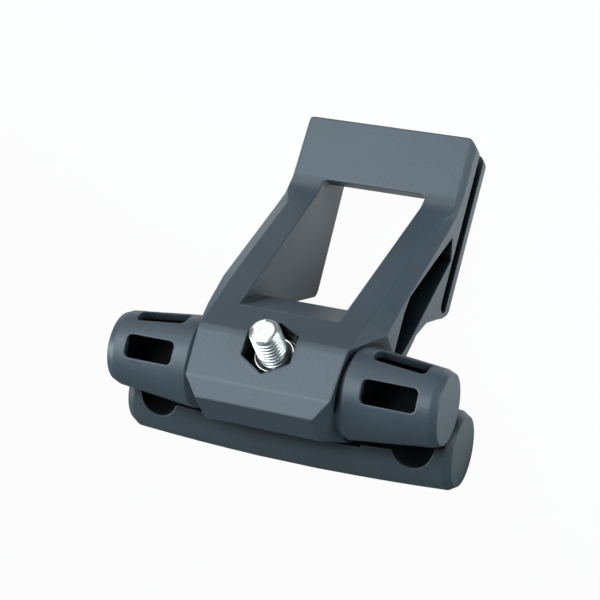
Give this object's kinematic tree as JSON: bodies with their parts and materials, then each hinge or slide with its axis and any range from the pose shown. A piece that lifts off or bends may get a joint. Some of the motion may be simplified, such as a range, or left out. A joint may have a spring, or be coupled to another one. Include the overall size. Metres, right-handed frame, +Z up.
{
  "type": "saddle bag mount",
  "caption": "Moulded saddle rail clamp: a body with hollow wings and a barrel-shaped clamp bar drawn together by a bolt, and a sloping open frame that ends in a grooved plate for a bag.",
  "frame": {"origin": "on the bolt's axis, at the height of the centres of the saddle rails", "axes": "+X to the right across the bicycle, +Y to the rear along the rails, +Z up along the bolt towards its tip"},
  "size_m": [0.0562, 0.0658, 0.0344],
  "materials": {
    "body_plastic": "fine matt moulded, dark blue-grey",
    "bar_plastic": "fine matt moulded, dark blue-grey",
    "steel": "bright stainless",
    "insert_plastic": "smooth, near black"
  },
  "bodies": {
    "upper": {"mount_body": "body_plastic", "hex_nut": "steel", "nut_insert": "insert_plastic"},
    "clamp": {"clamp_bar": "bar_plastic", "washer": "steel"},
    "bolt": {"clamp_bolt": "steel"}
  },
  "joints": [
    {"name": "clamp_slide", "type": "slide", "parent": "upper", "child": "clamp", "axis": [0, 0, -1], "range_m": [0, 0.006]},
    {"name": "bolt_turn", "type": "hinge", "parent": "clamp", "child": "bolt", "pos_m": [0, 0, -0.0112], "axis": [0, 0, -1], "range_deg": [0, 2700]}
  ],
  "couplings": [
    {"joint": "bolt_turn", "follows": "clamp_slide", "rad_per_m": 7854}
  ]
}
